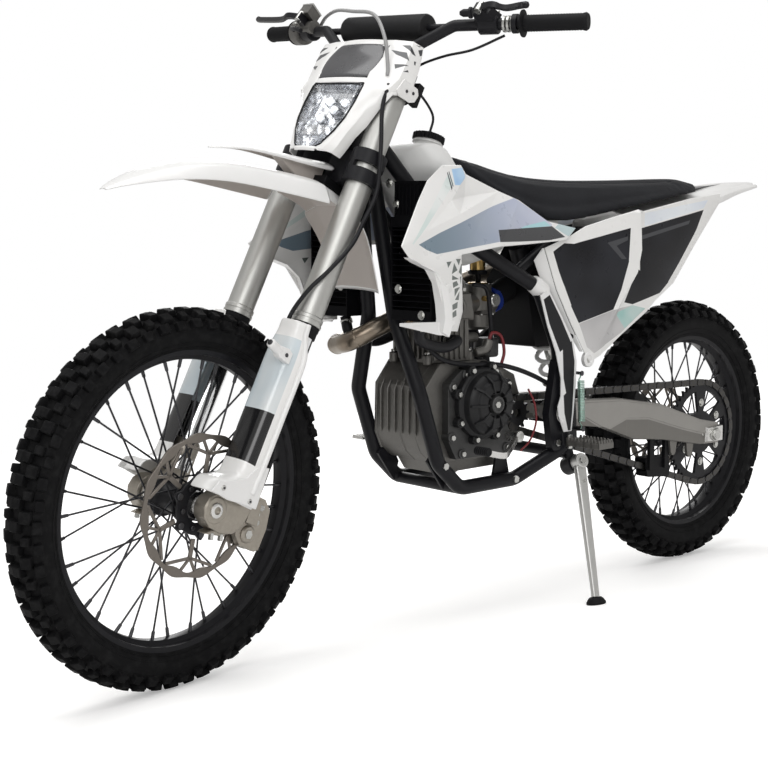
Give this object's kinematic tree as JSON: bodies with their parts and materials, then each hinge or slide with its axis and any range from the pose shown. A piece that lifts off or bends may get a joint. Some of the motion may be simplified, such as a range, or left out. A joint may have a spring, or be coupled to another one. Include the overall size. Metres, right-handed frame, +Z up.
{
  "type": "motocross bike",
  "caption": "Off-road motorcycle with knobbly tyres, long-travel fork, headlight mask, single-cylinder engine and a slim seat, leaning on its side stand.",
  "frame": {"origin": "centre of the parked bike's footprint box, on the ground", "axes": "+X to the front of the bike, +Y to its left, +Z up"},
  "size_m": [2.1345, 0.8182, 1.3244],
  "materials": {
    "black_frame": "satin",
    "alloy": "satin",
    "steel": "satin",
    "dark_metal": "satin",
    "cast_alloy": "matte",
    "heated_steel": "satin",
    "black_plastic": "matte",
    "grey_plastic": "matte",
    "white_plastic": "gloss",
    "seat_cover": "matte",
    "black_rubber": "matte",
    "lens": "gloss",
    "chain_steel": "satin",
    "black_rim": "satin",
    "tyre": "matte"
  },
  "bodies": {
    "chassis": {"frame": "black_frame", "swingarm": "alloy", "rear_axle": "steel", "rear_caliper": "dark_metal", "shock": "steel", "engine": "cast_alloy", "engine_covers": "dark_metal", "header_pipe": "heated_steel", "silencer": "alloy", "radiators": "black_plastic", "hoses": "black_rubber", "tank": "grey_plastic", "tank_cap": "black_plastic", "airbox": "black_plastic", "carburettor": "alloy", "seat_pad": "seat_cover", "shrouds": "white_plastic", "side_panels": "white_plastic", "rear_fender": "white_plastic", "frame_guards": "white_plastic", "footpegs": "steel", "foot_controls": "steel", "stand_spring": "steel", "chain": "chain_steel", "chain_guide": "black_plastic", "front_sprocket": "steel"},
    "steering": {"fork_outer_tubes": "alloy", "fork_lower_legs": "alloy", "fork_clamps": "dark_metal", "fork_guards": "white_plastic", "handlebar": "dark_metal", "bar_pad": "black_rubber", "grips": "black_rubber", "hand_controls": "black_plastic", "headlight_mask": "white_plastic", "headlight": "lens", "front_caliper": "dark_metal", "front_fender": "white_plastic", "front_axle": "steel", "control_lines": "black_rubber"},
    "front_wheel": {"front_hub": "dark_metal", "front_rim": "black_rim", "front_tyre": "tyre", "front_brake_disc": "steel"},
    "rear_wheel": {"rear_hub": "dark_metal", "rear_rim": "black_rim", "rear_tyre": "tyre", "rear_brake_disc": "steel", "rear_sprocket": "dark_metal"},
    "side_stand": {"side_stand": "steel"}
  },
  "joints": [
    {"name": "steering_turn", "type": "hinge", "parent": "chassis", "child": "steering", "pos_m": [0.65574, -0.13731, 0.30123], "axis": [-0.4554, 0.1362, 0.8798], "range_deg": [-47.2, 32.8]},
    {"name": "front_wheel_spin", "type": "hinge", "parent": "steering", "child": "front_wheel", "pos_m": [0.7264, -0.12187, 0.33542], "axis": [-0.1116, 0.9717, -0.2082], "continuous": true},
    {"name": "rear_wheel_spin", "type": "hinge", "parent": "chassis", "child": "rear_wheel", "pos_m": [-0.75006, -0.13519, 0.31495], "axis": [0, 0.9882, -0.153], "continuous": true},
    {"name": "side_stand_fold", "type": "hinge", "parent": "chassis", "child": "side_stand", "pos_m": [-0.20706, 0.00901, 0.29209], "axis": [0.1806, 0.9569, 0.2275], "range_deg": [0, 112.06]}
  ]
}
